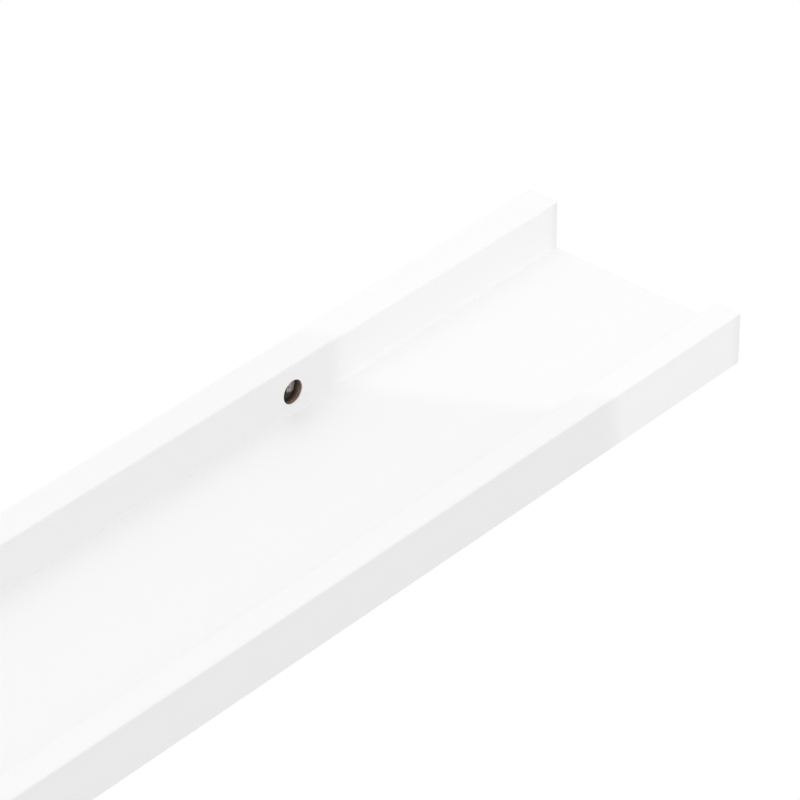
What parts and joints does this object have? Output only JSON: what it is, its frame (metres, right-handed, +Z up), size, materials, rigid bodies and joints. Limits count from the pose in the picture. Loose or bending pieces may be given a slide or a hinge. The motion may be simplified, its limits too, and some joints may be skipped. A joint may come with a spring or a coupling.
{
  "type": "floating wall shelf",
  "caption": "Low white picture ledge: base board between a tall back rail and a low front lip, dowelled together, with sunk wall screws in nylon plugs.",
  "frame": {"origin": "on the wall face of the back rail, midway between the axes of the two wall screws", "axes": "+X along the shelf to the right as seen from the front, +Y into the wall, +Z up"},
  "size_m": [0.6, 0.126, 0.03],
  "materials": {
    "white_board": "fibreboard with a smooth satin white lacquer, raw and brown inside the screw holes",
    "beech": "bare fluted beech",
    "zinc_steel": "zinc-plated steel",
    "grey_nylon": "moulded grey nylon"
  },
  "bodies": {
    "root": {"back_rail": "white_board", "base_board": "white_board", "front_lip": "white_board", "rail_dowel_1": "beech", "rail_dowel_2": "beech", "rail_dowel_3": "beech", "rail_dowel_4": "beech", "rail_dowel_5": "beech", "lip_dowel_1": "beech", "lip_dowel_2": "beech", "lip_dowel_3": "beech", "lip_dowel_4": "beech", "lip_dowel_5": "beech", "wall_screw_left": "zinc_steel", "wall_screw_right": "zinc_steel", "wall_plug_left": "grey_nylon", "wall_plug_right": "grey_nylon"}
  },
  "joints": []
}
